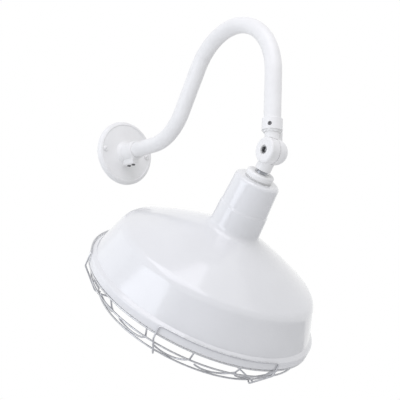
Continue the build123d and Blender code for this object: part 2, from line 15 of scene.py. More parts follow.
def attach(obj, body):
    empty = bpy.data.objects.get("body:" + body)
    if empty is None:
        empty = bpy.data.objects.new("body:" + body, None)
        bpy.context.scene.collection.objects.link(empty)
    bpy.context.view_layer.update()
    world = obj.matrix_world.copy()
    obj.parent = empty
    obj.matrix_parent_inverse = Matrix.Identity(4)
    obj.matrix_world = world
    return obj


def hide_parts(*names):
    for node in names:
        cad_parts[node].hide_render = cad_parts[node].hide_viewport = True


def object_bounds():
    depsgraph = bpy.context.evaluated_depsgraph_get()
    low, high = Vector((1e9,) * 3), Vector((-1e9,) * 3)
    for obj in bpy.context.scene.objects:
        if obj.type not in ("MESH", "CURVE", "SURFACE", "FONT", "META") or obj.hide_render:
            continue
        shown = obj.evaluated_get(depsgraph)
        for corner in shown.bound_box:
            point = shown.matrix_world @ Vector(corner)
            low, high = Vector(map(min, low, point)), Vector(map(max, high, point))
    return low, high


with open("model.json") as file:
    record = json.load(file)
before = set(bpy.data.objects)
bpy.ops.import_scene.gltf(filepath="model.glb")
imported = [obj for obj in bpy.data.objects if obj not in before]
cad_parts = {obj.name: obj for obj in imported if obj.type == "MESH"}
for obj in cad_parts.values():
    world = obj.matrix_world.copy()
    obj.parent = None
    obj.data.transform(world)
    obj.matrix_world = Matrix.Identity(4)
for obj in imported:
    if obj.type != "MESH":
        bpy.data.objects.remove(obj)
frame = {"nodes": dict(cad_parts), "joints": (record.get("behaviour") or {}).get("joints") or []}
cad_low, cad_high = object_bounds()

bl_info = {
    "name": "Gooseneck wall light",
    "version": (1, 0, 0),
    "blender": (4, 5, 0),
    "location": "View3D > Sidebar > Wall light",
    "description": "Builds a gooseneck wall light with an enamelled shade and a wire guard",
    "category": "Object",
}

SWIVEL = next(joint for joint in frame["joints"] if joint["name"] == "head_tilt")
PIVOT = Vector(SWIVEL["pos_m"])
# Distance of the pipe's lower end above the swivel's pin
PIPE_END_RISE = 0.035
# Angle of the front about the head's axis
FRONT = -pi / 2
# Faces that meet at more than this angle keep a sharp edge
SHARPEST = radians(35)
# Values between which a noise mostly stays
NOISE_LOW, NOISE_HIGH = 0.3, 0.7

# Steps of the round shapes, to a full turn, a bend or a thread's pitch
PIPE_SIDES, PIPE_BEND_STEPS = 40, 40
SHADE_SEGMENTS, SHADE_BEND_STEPS = 160, 10
SEAL_SEGMENTS, SEAL_LIP_STEPS = 72, 8
NIPPLE_SEGMENTS, SHELL_SEGMENTS, ROWS_TO_PITCH = 40, 64, 8
WIRE_SIDES, RING_SIDES = 12, 14
SIDE_RING_SEGMENTS, RING_C_SEGMENTS, RING_D_SEGMENTS = 144, 96, 64
HAIRPIN_STEPS, BAIL_BEND_STEPS, HOOK_STEPS, BOW_STEPS = 28, 8, 8, 32
FLOOR_SEGMENTS = 96


def length(title, text, default):
    """A length property in metres."""
    return FloatProperty(name=title, description=text, default=default, unit="LENGTH", precision=5)


def angle(title, text, degrees):
    """An angle property, from degrees."""
    return FloatProperty(name=title, description=text, default=radians(degrees), subtype="ANGLE")


def share(title, text, default):
    """A property between 0 and 1."""
    return FloatProperty(name=title, description=text, default=default, subtype="FACTOR", min=0, max=1)


def colour(title, text, default):
    """A colour property."""
    return FloatVectorProperty(name=title, description=text, default=default, subtype="COLOR", min=0, max=1)


class ArmSizes(bpy.types.PropertyGroup):
    """The bent pipe of the arm."""

    pipe_radius: length("Pipe radius", "Outside radius of the pipe", 0.013335)
    pipe_wall: length("Pipe wall", "Thickness of the pipe's wall", 0.00287)
    start: length("Start", "Distance of the pipe's end from the wall", 0.014)
    straight_end: length("Straight end", "Where the first bend starts", 0.094)
    lower_bend: length("Lower bend", "Radius of the bend that lifts the pipe", 0.088)
    upper_bend: length("Upper bend", "Radius of the arch", 0.101)
    reach: length("Reach", "Distance of the pipe's drop from the wall", -PIVOT.y)
    end: length("End", "Height of the pipe's lower end", PIVOT.z + PIPE_END_RISE)
    rise_angle: angle("Rise", "Slope of the straight run", 59)


class ShadeSizes(bpy.types.PropertyGroup):
    """The spun shade and its seal: radii from the head's axis, heights above the rim."""

    tilt: angle("Tilt", "Lean of the head towards the wall", 37.2)
    top: length("Top", "Distance of the shade's top below the swivel's pin", 0.048)
    height: length("Height", "Height of the shade", 0.2178)
    sheet: length("Sheet", "Thickness of the enamelled sheet", 0.0016)
    hole: length("Hole", "Radius of the hole for the nipple", 0.01085)
    seal: length("Seal", "Thickness of the seal between the hub cap and the shade", 0.0015)
    seal_radius: length("Seal radius", "Radius to which the seal is squeezed out", 0.0212)
    seal_swell: length("Seal swell", "Depth of the seal's round edge", 0.0012)
    seal_rise: length("Seal rise", "How far the seal's round edge stands above its flat top", 0.0001)
    seal_seat: length("Seal seat", "Width over which the seal's flat top rises to its round edge", 0.001)
    neck_top: length("Neck top", "Radius at the neck's top", 0.0362)
    neck_foot: length("Neck foot", "Radius at the neck's foot", 0.0405)
    neck_height: length("Neck height", "Height of the neck", 0.089)
    bead_place: share("Bead place", "Place of the bead down the neck", 0.56)
    bead_taper: share("Bead taper", "How much of the neck's taper lies above the bead", 0.45)
    bead_half: length("Bead half", "Half the height of the bead", 0.0016)
    bead_step: length("Bead step", "How far the neck widens at the bead", 0.0012)
    dome_radius: length("Dome radius", "Radius at the dome's middle", 0.106)
    dome_height: length("Dome height", "Height of the dome's middle above the rim", 0.101)
    shoulder_height: length("Shoulder height", "Height of the shoulder above the rim", 0.0733)
    skirt_flare: length("Skirt flare", "Spread of the skirt from the shoulder to its foot", 0.0194)
    ledge_width: length("Ledge width", "Width of the sloped ledge above the rim", 0.0068)
    step_height: length("Step height", "Height of the ledge's inner edge", 0.017)
    rim_radius: length("Rim radius", "Radius of the rim", 0.1895)
    rim_face: length("Rim face", "Height of the rim's upright face", 0.0128)
    rim_corner: length("Rim corner", "Radius of the rim's upper edge", 0.004)
    rim_lip: length("Rim lip", "Width of the lip that is turned in", 0.009)
    neck_top_bend: length("Neck top bend", "Radius of the neck's upper edge", 0.006)
    bead_bend: length("Bead bend", "Radius of the bends at the bead", 0.0025)
    neck_foot_bend: length("Neck foot bend", "Radius of the bend from the neck to the dome", 0.014)
    dome_bend: length("Dome bend", "Radius of the dome's curve", 0.4)
    shoulder_bend: length("Shoulder bend", "Radius of the shoulder", 0.024)
    ledge_bend: length("Ledge bend", "Radius of the bend from the skirt to the ledge", 0.002)
    lip_bend: length("Lip bend", "Radius of the rim's lower edge", 0.003)


class HolderSizes(bpy.types.PropertyGroup):
    """The nipple and the lampholder's screw shell, measured down the head's axis from the swivel's pin."""

    nipple_radius: length("Nipple radius", "Radius over the nipple's thread", 0.01065)
    nipple_wall: length("Nipple wall", "Wall of the nipple", 0.0028)
    nipple_thread: length("Nipple thread", "Depth of the nipple's thread", 0.0009)
    nipple_pitch: length("Nipple pitch", "Pitch of the nipple's thread", 0.00181)
    nipple_start: length("Nipple start", "Upper end of the nipple", 0.0232)
    nipple_end: length("Nipple end", "Lower end of the nipple", 0.0621)
    shell_radius: length("Shell radius", "Mean inside radius of the screw shell", 0.0134)
    shell_sheet: length("Shell sheet", "Thickness of the screw shell", 0.0004)
    shell_wave: length("Shell wave", "Half the depth of the rolled thread", 0.00035)
    shell_pitch: length("Shell pitch", "Pitch of the rolled thread", 0.00363)
    shell_start: length("Shell start", "Upper end of the screw shell", 0.0901)
    shell_end: length("Shell end", "Lower end of the screw shell", 0.1166)
    shell_floor: length("Shell floor", "Radius of the hole in the shell's floor", 0.0065)
    floor_sheet: length("Floor sheet", "Thickness of the shell's floor", 0.001)


class GuardSizes(bpy.types.PropertyGroup):
    """The wire guard, measured out from the head's axis and down from the rim."""

    wire: length("Wire", "Diameter of the wire", 0.0027)
    weld_gap: length("Weld gap", "Gap between welded wires", 0.0002)
    weld_bead: FloatVectorProperty(
        name="Weld bead",
        description="Half sizes of a weld: out, along the ring and up",
        default=(0.0013, 0.0017, 0.0012),
        unit="LENGTH",
        precision=5,
    )
    seat_radius: length("Seat ring", "Radius of the ring under the rim", 0.1875)
    ring_a_radius: length("Ring A", "Radius of the upper side ring", 0.177)
    ring_a_depth: length("Ring A depth", "Depth of the upper side ring", 0.02)
    ring_b_radius: length("Ring B", "Radius of the lower side ring", 0.157)
    ring_b_depth: length("Ring B depth", "Depth of the lower side ring", 0.04)
    ring_c_radius: length("Ring C", "Radius of the outer bottom ring", 0.095)
    ring_d_radius: length("Ring D", "Radius of the inner bottom ring", 0.036)
    spoke_count: IntProperty(name="Spokes", description="Number of straight wires", default=3, min=2)
    spoke_first: angle("First spoke", "Angle from the front", 10)
    hairpin_count: IntProperty(name="Hairpins", description="Number of bent wires", default=15, min=3)
    hairpin_first: angle("First hairpin", "Angle from the front", -45.2)
    hairpin_end: angle("Hairpin end", "How far a hairpin's round end turns past ring B", -50)
    hairpin_gap: angle("Hairpin gap", "Gap from a hairpin's leg to halfway to the next one", 0.65)
    foot_inset: length("Foot inset", "How far a hairpin's leg foot is moved in, clear of ring A", 0.0006)
    foot_drop: length("Foot drop", "How far a hairpin's leg foot is moved down, clear of ring A", 0.0004)
    bail_count: IntProperty(name="Bails", description="Number of wire latches", default=3, min=1, max=3)
    bail_first: angle("First bail", "Angle from the front", -22.5)
    bail_half_angle: angle("Bail half angle", "Half the angle that a bail spans", 30)
    bail_bend: length("Bail bend", "Radius of the bends at a bail's catch and toe", 0.005)
    knee: length("Bail knee", "Depth at which a bail's leg bends inwards", 0.008)
    knee_bend: length("Knee bend", "Radius of the bend at a bail's knee", 0.006)
    toe: length("Bail toe", "Straight run before a bail's hook", 0.005)
    hook_radius: length("Hook radius", "Radius of a bail's hook", 0.004)
    hook_end: angle("Hook end", "Angle that a bail's hook turns through", 75)
    catch_angle: angle("Catch", "Place of the catch on the rim's corner", 52)
    swing_gap: length("Swing gap", "Gap between a bail's catch and the rim", 0.0003)
    leg_gap: length("Leg gap", "Gap between a bail's legs and the rim", 0.0008)


class FinishColours(bpy.types.PropertyGroup):
    """Colours of the finishes."""

    coat: colour("Powder coat", "Arm, plate and castings", (0.88, 0.88, 0.87))
    enamel: colour("Enamel", "Shade", (0.79, 0.795, 0.80))
    wire: colour("Galvanised wire", "Guard", (0.6, 0.605, 0.62))
    dark: colour("Black oxide", "Set screws", (0.13, 0.13, 0.135))
    zinc: colour("Zinc plate", "Nipple, nut and cap", (0.55, 0.56, 0.58))
    porcelain: colour("Porcelain", "Lampholder", (0.80, 0.78, 0.72))
    brass: colour("Brass", "Screw shell and contacts", (0.72, 0.50, 0.20))
    rubber: colour("Rubber", "Gasket and seal", (0.8, 0.8, 0.79))
    fibre: colour("Fibre", "Friction washer", (0.75, 0.745, 0.73))


class StageSizes(bpy.types.PropertyGroup):
    """Camera and floor."""

    azimuth: angle("Azimuth", "Camera's turn from the front", -38.22)
    elevation: angle("Elevation", "Camera's height angle", -11.55)
    roll: angle("Roll", "Camera's roll", 2.04)
    distance: length("Distance", "Camera's distance from its aim", 1.6374)
    aim: FloatVectorProperty(
        name="Aim",
        description="Point that the camera looks at",
        default=(-0.0607, -0.3049, -0.1368),
        unit="LENGTH",
    )
    lens: FloatProperty(name="Lens", description="Focal length in millimetres", default=96.57, unit="CAMERA")
    sensor: FloatProperty(name="Sensor", description="Sensor width in millimetres", default=36, unit="CAMERA")
    floor_drop: length("Floor drop", "Distance of the floor below the light", 0.3)
    floor_centre: length("Floor centre", "Place of the floor's middle from the wall", -0.3)
    floor_radius: length("Floor radius", "Radius of the floor", 9)


def add_node(tree, kind, inputs=None, **settings):
    """New shader node with its settings; an input takes a value or another node's output."""
    node = tree.nodes.new(f"ShaderNode{kind}")
    for name, setting in settings.items():
        setattr(node, name, setting)
    for socket, value in (inputs or {}).items():
        if isinstance(value, bpy.types.NodeSocket):
            tree.links.new(value, node.inputs[socket])
        else:
            node.inputs[socket].default_value = value
    return node


def feed(tree, socket, output):
    """Links an output to the surface's shader."""
    tree.links.new(output, tree.nodes["Principled BSDF"].inputs[socket])


def own_place(tree):
    """The piece's own coordinates."""
    return add_node(tree, "TexCoord").outputs["Object"]


def lay_noise(tree, scale, detail, stretch=None):
    """Noise in the piece's own coordinates; scale is in features to a metre."""
    place = own_place(tree)
    if stretch:
        place = add_node(tree, "Mapping", {"Vector": place, "Scale": stretch}).outputs["Vector"]
    return add_node(tree, "TexNoise", {"Vector": place, "Scale": scale, "Detail": detail}).outputs["Fac"]


def shade_of(base, part):
    """The colour times a part."""
    return tuple(min(1.0, level * part) for level in base)


def lay_colours(tree, factor, first, last, start=NOISE_LOW, end=NOISE_HIGH):
    """Colour that runs from the first to the last as the factor goes from start to end."""
    ramp = add_node(tree, "ValToRGB", {"Fac": factor})
    for stop, position, tone in zip(ramp.color_ramp.elements, (start, end), (first, last)):
        stop.position = position
        stop.color = (*tone, 1)
    feed(tree, "Base Color", ramp.outputs["Color"])


def lay_tones(tree, factor, base, dark, light, **limits):
    """Colour that runs between a darker and a lighter tone of the base."""
    lay_colours(tree, factor, shade_of(base, dark), shade_of(base, light), **limits)


def lay_roughness(tree, factor, low, high):
    """Roughness that runs between two values."""
    limits = {"From Min": NOISE_LOW, "From Max": NOISE_HIGH, "To Min": low, "To Max": high}
    feed(tree, "Roughness", add_node(tree, "MapRange", {"Value": factor, **limits}).outputs["Result"])


def lay_bump(tree, height, strength, depth):
    """Bump on top of those laid before; depth is in metres."""
    bump = add_node(tree, "Bump", {"Height": height, "Strength": strength, "Distance": depth})
    for under in tree.nodes["Principled BSDF"].inputs["Normal"].links:
        tree.links.new(under.from_socket, bump.inputs["Normal"])
    feed(tree, "Normal", bump.outputs["Normal"])


def blank_finish(name, **sockets):
    """New material whose constant values sit on the shader's own sockets."""
    finish = bpy.data.materials.new(name)
    finish.use_nodes = True
    shader = finish.node_tree.nodes["Principled BSDF"]
    for socket, value in sockets.items():
        shader.inputs[socket.replace("_", " ")].default_value = value
    return finish, finish.node_tree


def powder_coat(base):
    """White powder coat: fine orange peel over faintly uneven castings."""
    finish, tree = blank_finish("powder_coat", Coat_Weight=0.12, Coat_Roughness=0.25)
    lay_tones(tree, lay_noise(tree, scale=38, detail=3), base, dark=0.97, light=1.02)
    lay_roughness(tree, lay_noise(tree, scale=260, detail=2), low=0.34, high=0.46)
    lay_bump(tree, lay_noise(tree, scale=70, detail=2), strength=0.1, depth=0.0006)
    lay_bump(tree, lay_noise(tree, scale=1100, detail=1), strength=0.1, depth=0.00012)
    return finish


def enamel(base):
    """Glossy porcelain enamel over spun steel: soft waves and faint rings from the spinning tool."""
    finish, tree = blank_finish("white_enamel", Coat_Weight=0.55, Coat_Roughness=0.1)
    lay_tones(tree, lay_noise(tree, scale=14, detail=3), base, dark=0.98, light=1.015)
    lay_roughness(tree, lay_noise(tree, scale=45, detail=3), low=0.13, high=0.2)
    upright = (-bpy.context.scene.light_shade.tilt, 0, 0)
    axis = add_node(tree, "Mapping", {"Vector": own_place(tree), "Rotation": upright}).outputs["Vector"]
    bands = {"Vector": axis, "Scale": 38, "Distortion": 1.2, "Detail": 1}
    rings = add_node(tree, "TexWave", bands, bands_direction="Z").outputs["Fac"]
    lay_bump(tree, lay_noise(tree, scale=26, detail=1), strength=0.06, depth=0.0008)
    lay_bump(tree, rings, strength=0.03, depth=0.0002)
    lay_bump(tree, lay_noise(tree, scale=420, detail=1), strength=0.03, depth=0.00015)
    return finish


def galvanised(base):
    """Galvanised wire: small zinc spangles, dull and bright."""
    finish, tree = blank_finish("galvanised_wire", Metallic=1.0)
    spangle = add_node(tree, "TexVoronoi", {"Vector": own_place(tree), "Scale": 420}).outputs["Color"]
    lay_tones(tree, spangle, base, dark=0.9, light=1.1, start=0.15, end=0.85)
    lay_roughness(tree, lay_noise(tree, scale=240, detail=3), low=0.34, high=0.46)
    lay_bump(tree, lay_noise(tree, scale=900, detail=2), strength=0.08, depth=0.0001)
    return finish


def black_oxide(base):
    """Blackened steel of the set screws."""
    finish, tree = blank_finish("black_oxide", Metallic=0.85)
    lay_tones(tree, lay_noise(tree, scale=500, detail=3), base, dark=0.7, light=1.8)
    lay_roughness(tree, lay_noise(tree, scale=350, detail=2), low=0.35, high=0.55)
    lay_bump(tree, lay_noise(tree, scale=1600, detail=1), strength=0.15, depth=0.0001)
    return finish


def bolt_paint(base, steel):
    """Painted bolt, bare and dull in a ring round the socket in its head where the key has worn it."""
    worn_radius, worn_half, bare_half, dulling = 0.0045, 0.0018, 0.0013, 0.32
    finish, tree = blank_finish("bolt_paint")
    flat = add_node(tree, "VectorMath", {0: own_place(tree), 1: (0, 1, 1)}, operation="MULTIPLY")
    pin = (0, PIVOT.y, PIVOT.z)
    away = add_node(tree, "VectorMath", {0: flat.outputs["Vector"], 1: pin}, operation="DISTANCE")
    offset = add_node(tree, "Math", {0: away.outputs["Value"], 1: worn_radius}, operation="SUBTRACT")
    from_ring = add_node(tree, "Math", {0: offset.outputs["Value"]}, operation="ABSOLUTE")
    limits = {"From Min": worn_half, "From Max": bare_half}
    bare = add_node(tree, "MapRange", {"Value": from_ring.outputs["Value"], **limits}).outputs["Result"]
    lay_colours(tree, bare, base, shade_of(steel, dulling), start=0, end=1)
    feed(tree, "Metallic", bare)
    lay_roughness(tree, lay_noise(tree, scale=260, detail=2), low=0.34, high=0.46)
    lay_bump(tree, lay_noise(tree, scale=1100, detail=1), strength=0.1, depth=0.00012)
    return finish


def zinc_plate(base):
    """Bright zinc plate with turned lines."""
    finish, tree = blank_finish("zinc_plate", Metallic=1.0)
    lay_tones(tree, lay_noise(tree, scale=150, detail=3), base, dark=0.85, light=1.15)
    lay_roughness(tree, lay_noise(tree, scale=300, detail=2), low=0.18, high=0.34)
    lines = lay_noise(tree, scale=700, detail=1, stretch=(0.2, 0.2, 2))
    lay_bump(tree, lines, strength=0.12, depth=0.0001)
    return finish


def porcelain(base):
    """Glazed porcelain with a warm body and small specks."""
    finish, tree = blank_finish("porcelain", Coat_Weight=0.5, Coat_Roughness=0.06)
    specks = lay_noise(tree, scale=330, detail=5)
    lay_tones(tree, specks, base, dark=0.86, light=1, start=0.22, end=0.4)
    lay_roughness(tree, lay_noise(tree, scale=60, detail=2), low=0.14, high=0.24)
    lay_bump(tree, lay_noise(tree, scale=120, detail=2), strength=0.08, depth=0.0005)
    return finish


def brass(base):
    """Drawn brass with a little tarnish."""
    finish, tree = blank_finish("brass", Metallic=1.0)
    lay_tones(tree, lay_noise(tree, scale=120, detail=4), base, dark=0.72, light=1.08)
    lay_roughness(tree, lay_noise(tree, scale=200, detail=3), low=0.2, high=0.42)
    lay_bump(tree, lay_noise(tree, scale=900, detail=1), strength=0.08, depth=0.0001)
    return finish


def rubber(base):
    """Matte white rubber."""
    finish, tree = blank_finish("rubber")
    lay_tones(tree, lay_noise(tree, scale=90, detail=3), base, dark=0.95, light=1.04)
    lay_roughness(tree, lay_noise(tree, scale=300, detail=2), low=0.7, high=0.88)
    lay_bump(tree, lay_noise(tree, scale=1300, detail=2), strength=0.2, depth=0.00015)
    return finish


def fibre(base):
    """Pressed pale fibre of the friction washer."""
    finish, tree = blank_finish("pressed_fibre")
    strands = (1, 0.3, 1)
    lay_tones(tree, lay_noise(tree, scale=500, detail=4, stretch=strands), base, dark=0.85, light=1.1)
    lay_roughness(tree, lay_noise(tree, scale=300, detail=2), low=0.75, high=0.9)
    lay_bump(tree, lay_noise(tree, scale=900, detail=3, stretch=strands), strength=0.25, depth=0.00015)
    return finish


FINISHES = {
    "white_coat": (powder_coat, "coat"),
    "white_screw": (powder_coat, "coat"),
    "white_enamel": (enamel, "enamel"),
    "wire": (galvanised, "wire"),
    "dark_steel": (black_oxide, "dark"),
    "zinc": (zinc_plate, "zinc"),
    "porcelain": (porcelain, "porcelain"),
    "brass": (brass, "brass"),
    "seal": (rubber, "rubber"),
    "fibre": (fibre, "fibre"),
}
made_finishes = {}


def finish_for(slot):
    """The material of a slot in the model's record, made once."""
    build, key = FINISHES[slot]
    if key not in made_finishes:
        made_finishes[key] = build(tuple(getattr(bpy.context.scene.light_colours, key)))
    return made_finishes[key]


def place_piece(name, body, slot, work, nodes=()):
    """Adds a piece in the model's frame, on its body, with its finish."""
    mesh = bpy.data.meshes.new(name)
    work.to_mesh(mesh)
    work.free()
    mesh.shade_smooth()
    mesh.set_sharp_from_angle(angle=SHARPEST)
    mesh.materials.append(finish_for(slot))
    piece = bpy.data.objects.new(name, mesh)
    bpy.context.scene.collection.objects.link(piece)
    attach(piece, body)
    if nodes:
        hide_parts(*nodes)


def set_finish(node, finish):
    """Gives a model node that stays as it is one finish."""
    mesh = frame["nodes"][node].data
    mesh.materials.clear()
    mesh.materials.append(finish)


def dress(slot, *nodes):
    """Gives model nodes the finish of their slot."""
    for node in nodes:
        set_finish(node, finish_for(slot))


def around(count):
    """Cosine and sine of turns spaced evenly over a circle."""
    return [(cos(2 * pi * n / count), sin(2 * pi * n / count)) for n in range(count)]


def spread_out(first, count):
    """Angles about the head's axis, the first measured from the front."""
    return [first + FRONT + 2 * pi / count * n for n in range(count)]


def rounded(spots, radii, steps):
    """Points through the spots with a round bend of its own radius at each inner corner."""
    points = [spots[0]]
    for before, corner, after, radius in zip(spots, spots[1:], spots[2:], radii):
        back = (before - corner).normalized()
        ahead = (after - corner).normalized()
        half = back.angle(ahead) / 2
        centre = corner + (back + ahead).normalized() * (radius / sin(half))
        first = (corner + back * (radius / tan(half)) - centre).normalized()
        last = (corner + ahead * (radius / tan(half)) - centre).normalized()
        across = (last - first * first.dot(last)).normalized()
        bend = first.angle(last)
        for step in range(steps + 1):
            turn = bend * step / steps
            points.append(centre + (first * cos(turn) + across * sin(turn)) * radius)
    points.append(spots[-1])
    return points


def directions(path):
    """The way that a path runs at each of its points."""
    return [(after - before).normalized() for before, after in zip(path[:1] + path, path[1:] + path[-1:])]


def join_rows(work, rows):
    """Faces all round between each row of points and the next."""
    for row, following in zip(rows, rows[1:]):
        for n, point in enumerate(row):
            after = (n + 1) % len(row)
            work.faces.new([point, row[after], following[after], following[n]])


def turned(section, place, segments, work=None):
    """Turns a closed section of (radius, height) points about the Z axis of a place."""
    work = work or bmesh.new()
    rows = [
        [work.verts.new(place @ Vector((radius * x, radius * y, height))) for x, y in around(segments)]
        for radius, height in section
    ]
    join_rows(work, rows + rows[:1])
    bmesh.ops.recalc_face_normals(work, faces=work.faces)
    return work


def swept(path, radius, sides, work=None, bore=0):
    """Round wire along a path of points, with closed ends, or a pipe where there is a bore."""
    work = work or bmesh.new()
    ways = directions(path)
    side = ways[0].orthogonal().normalized()
    rows, inner = [], []
    for point, way in zip(path, ways):
        side = (side - way * side.dot(way)).normalized()
        other = way.cross(side)
        rays = [side * x + other * y for x, y in around(sides)]
        rows.append([work.verts.new(point + ray * radius) for ray in rays])
        if bore:
            inner.append([work.verts.new(point + ray * bore) for ray in rays])
    if bore:
        rows += inner[::-1] + rows[:1]
    else:
        work.faces.new(rows[0][::-1])
        work.faces.new(rows[-1])
    join_rows(work, rows)
    return work


def threaded(outer, inner, span, pitch, segments):
    """Tube with a thread on the head's axis: outer and inner give the radius at a share of the pitch."""
    low, high = span
    count = round((high - low) / pitch * ROWS_TO_PITCH)
    heights = [low + (high - low) * row / count for row in range(count + 1)]
    place = head_place(0)
    work = bmesh.new()
    rows = []
    for wall, levels in ((outer, heights), (inner, heights[::-1])):
        for height in levels:
            ring = []
            for n, (x, y) in enumerate(around(segments)):
                radius = wall((height / pitch - n / segments) % 1)
                ring.append(work.verts.new(place @ Vector((radius * x, radius * y, height))))
            rows.append(ring)
    join_rows(work, rows + rows[:1])
    bmesh.ops.recalc_face_normals(work, faces=work.faces)
    return work


def head_place(station):
    """Frame on the head's axis at a distance below the swivel's pin, Z up the axis."""
    lean = bpy.context.scene.light_shade.tilt
    down = Vector((0, sin(lean), -cos(lean)))
    return Matrix.Translation(PIVOT + down * station) @ Matrix.Rotation(lean, 4, "X")


def rim_place(turn=0):
    """Frame on the head's axis at the rim, turned about the axis."""
    shade = bpy.context.scene.light_shade
    return head_place(shade.top + shade.height) @ Matrix.Rotation(turn, 4, "Z")


class LIGHT_OT_arm(bpy.types.Operator):
    """Bend the gooseneck pipe"""

    bl_idname = "light.arm"
    bl_label = "Gooseneck arm"

    def execute(self, context):
        arm = context.scene.light_arm
        rise = arm.rise_angle
        knee = Vector((0, -arm.straight_end - arm.lower_bend * tan(rise / 2), 0))
        run = Vector((0, -cos(rise), sin(rise)))
        peak = knee + run * ((-arm.reach - knee.y) / run.y)
        spots = [Vector((0, -arm.start, 0)), knee, peak, Vector((0, -arm.reach, arm.end))]
        path = rounded(spots, [arm.lower_bend, arm.upper_bend], PIPE_BEND_STEPS)
        work = swept(path, arm.pipe_radius, PIPE_SIDES, bore=arm.pipe_radius - arm.pipe_wall)
        place_piece("gooseneck_pipe", "arm", "white_coat", work, ("gooseneck_arm",))
        return {"FINISHED"}


class LIGHT_OT_wall_plate(bpy.types.Operator):
    """Dress the wall plate, its gasket and its screws"""

    bl_idname = "light.wall_plate"
    bl_label = "Wall plate"

    def execute(self, context):
        dress("white_coat", "wall_plate")
        dress("seal", "wall_gasket")
        dress("white_screw", "wall_screws")
        dress("dark_steel", "arm_set_screws")
        return {"FINISHED"}


class LIGHT_OT_swivel(bpy.types.Operator):
    """Dress the two halves of the swivel and its bolt"""

    bl_idname = "light.swivel"
    bl_label = "Swivel"

    def execute(self, context):
        colours = context.scene.light_colours
        dress("white_coat", "knuckle_upper", "knuckle_lower")
        dress("dark_steel", "collar_set_screw")
        dress("fibre", "friction_washer")
        set_finish("knuckle_bolt", bolt_paint(tuple(colours.coat), tuple(colours.zinc)))
        return {"FINISHED"}


class LIGHT_OT_nipple(bpy.types.Operator):
    """Cut the thread of the nipple and dress the nut and the cap on it"""

    bl_idname = "light.nipple"
    bl_label = "Nipple"

    def execute(self, context):
        size = context.scene.light_holder

        def crest(pitch_share):
            return size.nipple_radius - size.nipple_thread * abs(2 * pitch_share - 1)

        def bore(pitch_share):
            return size.nipple_radius - size.nipple_wall

        span = (-size.nipple_end, -size.nipple_start)
        work = threaded(crest, bore, span, size.nipple_pitch, NIPPLE_SEGMENTS)
        place_piece("nipple_thread", "head", "zinc", work, ("nipple",))
        dress("zinc", "hub_lock_nut", "socket_cap", "cap_screws")
        return {"FINISHED"}


class LIGHT_OT_shade(bpy.types.Operator):
    """Spin the shade"""

    bl_idname = "light.shade"
    bl_label = "Shade"

    def execute(self, context):
        size = context.scene.light_shade
        bead = size.height - size.neck_height * size.bead_place
        bead_radius = size.neck_top + (size.neck_foot - size.neck_top) * size.bead_taper
        skirt_radius = size.rim_radius - size.ledge_width
        # Radius and height of each corner, and the radius of its bend
        corners = [
            (size.hole, size.height, None),
            (size.neck_top, size.height, size.neck_top_bend),
            (bead_radius, bead + size.bead_half, size.bead_bend),
            (bead_radius + size.bead_step, bead - size.bead_half, size.bead_bend),
            (size.neck_foot, size.height - size.neck_height, size.neck_foot_bend),
            (size.dome_radius, size.dome_height, size.dome_bend),
            (skirt_radius - size.skirt_flare, size.shoulder_height, size.shoulder_bend),
            (skirt_radius, size.step_height, size.ledge_bend),
            (size.rim_radius, size.rim_face, size.rim_corner),
            (size.rim_radius, 0, size.lip_bend),
            (size.rim_radius - size.rim_lip, 0, None),
        ]
        spots = [Vector((radius, 0, height)) for radius, height, bend in corners]
        outer = rounded(spots, [bend for radius, height, bend in corners[1:-1]], SHADE_BEND_STEPS)
        inner = [
            point + Vector((way.z, 0, -way.x)) * size.sheet for point, way in zip(outer, directions(outer))
        ]
        section = [(point.x, point.z) for point in outer + inner[::-1]]
        work = turned(section, rim_place(), SHADE_SEGMENTS)
        place_piece("shade_shell", "head", "white_enamel", work, ("shade",))
        return {"FINISHED"}


class LIGHT_OT_hub(bpy.types.Operator):
    """Dress the hub cap and squeeze the seal under it"""

    bl_idname = "light.hub"
    bl_label = "Hub"

    def execute(self, context):
        size = context.scene.light_shade
        lip_radius = size.seal_radius - size.seal_swell
        lip_half = (size.seal + size.seal_rise) / 2
        section = [(size.hole, size.seal), (size.hole, 0)]
        for step in range(SEAL_LIP_STEPS + 1):
            turn = pi * (step / SEAL_LIP_STEPS - 0.5)
            section.append((lip_radius + size.seal_swell * cos(turn), lip_half * (1 + sin(turn))))
        section.append((lip_radius - size.seal_seat, size.seal))
        work = turned(section, head_place(size.top), SEAL_SEGMENTS)
        place_piece("hub_seal_lip", "head", "seal", work, ("hub_seal",))
        dress("white_coat", "hub_cap")
        return {"FINISHED"}


class LIGHT_OT_lampholder(bpy.types.Operator):
    """Roll the lampholder's screw shell and dress its body and contacts"""

    bl_idname = "light.lampholder"
    bl_label = "Lampholder"

    def execute(self, context):
        size = context.scene.light_holder

        def inside(pitch_share):
            return size.shell_radius + size.shell_wave * cos(2 * pi * pitch_share)

        def outside(pitch_share):
            return inside(pitch_share) + size.shell_sheet

        span = (-size.shell_end, -size.shell_start)
        work = threaded(outside, inside, span, size.shell_pitch, SHELL_SEGMENTS)
        floor = [
            (size.shell_floor, 0),
            (size.shell_radius, 0),
            (size.shell_radius, size.floor_sheet),
            (size.shell_floor, size.floor_sheet),
        ]
        turned(floor, head_place(size.shell_start), SHELL_SEGMENTS, work)
        place_piece("screw_shell_thread", "head", "brass", work, ("screw_shell",))
        dress("porcelain", "lampholder")
        dress("brass", "centre_contact", "terminal_screws")
        return {"FINISHED"}


def on_guard(radius, depth, turn):
    """Point of the guard from its radius, its depth below the rim and its angle."""
    return Vector((radius * cos(turn), radius * sin(turn), -depth))


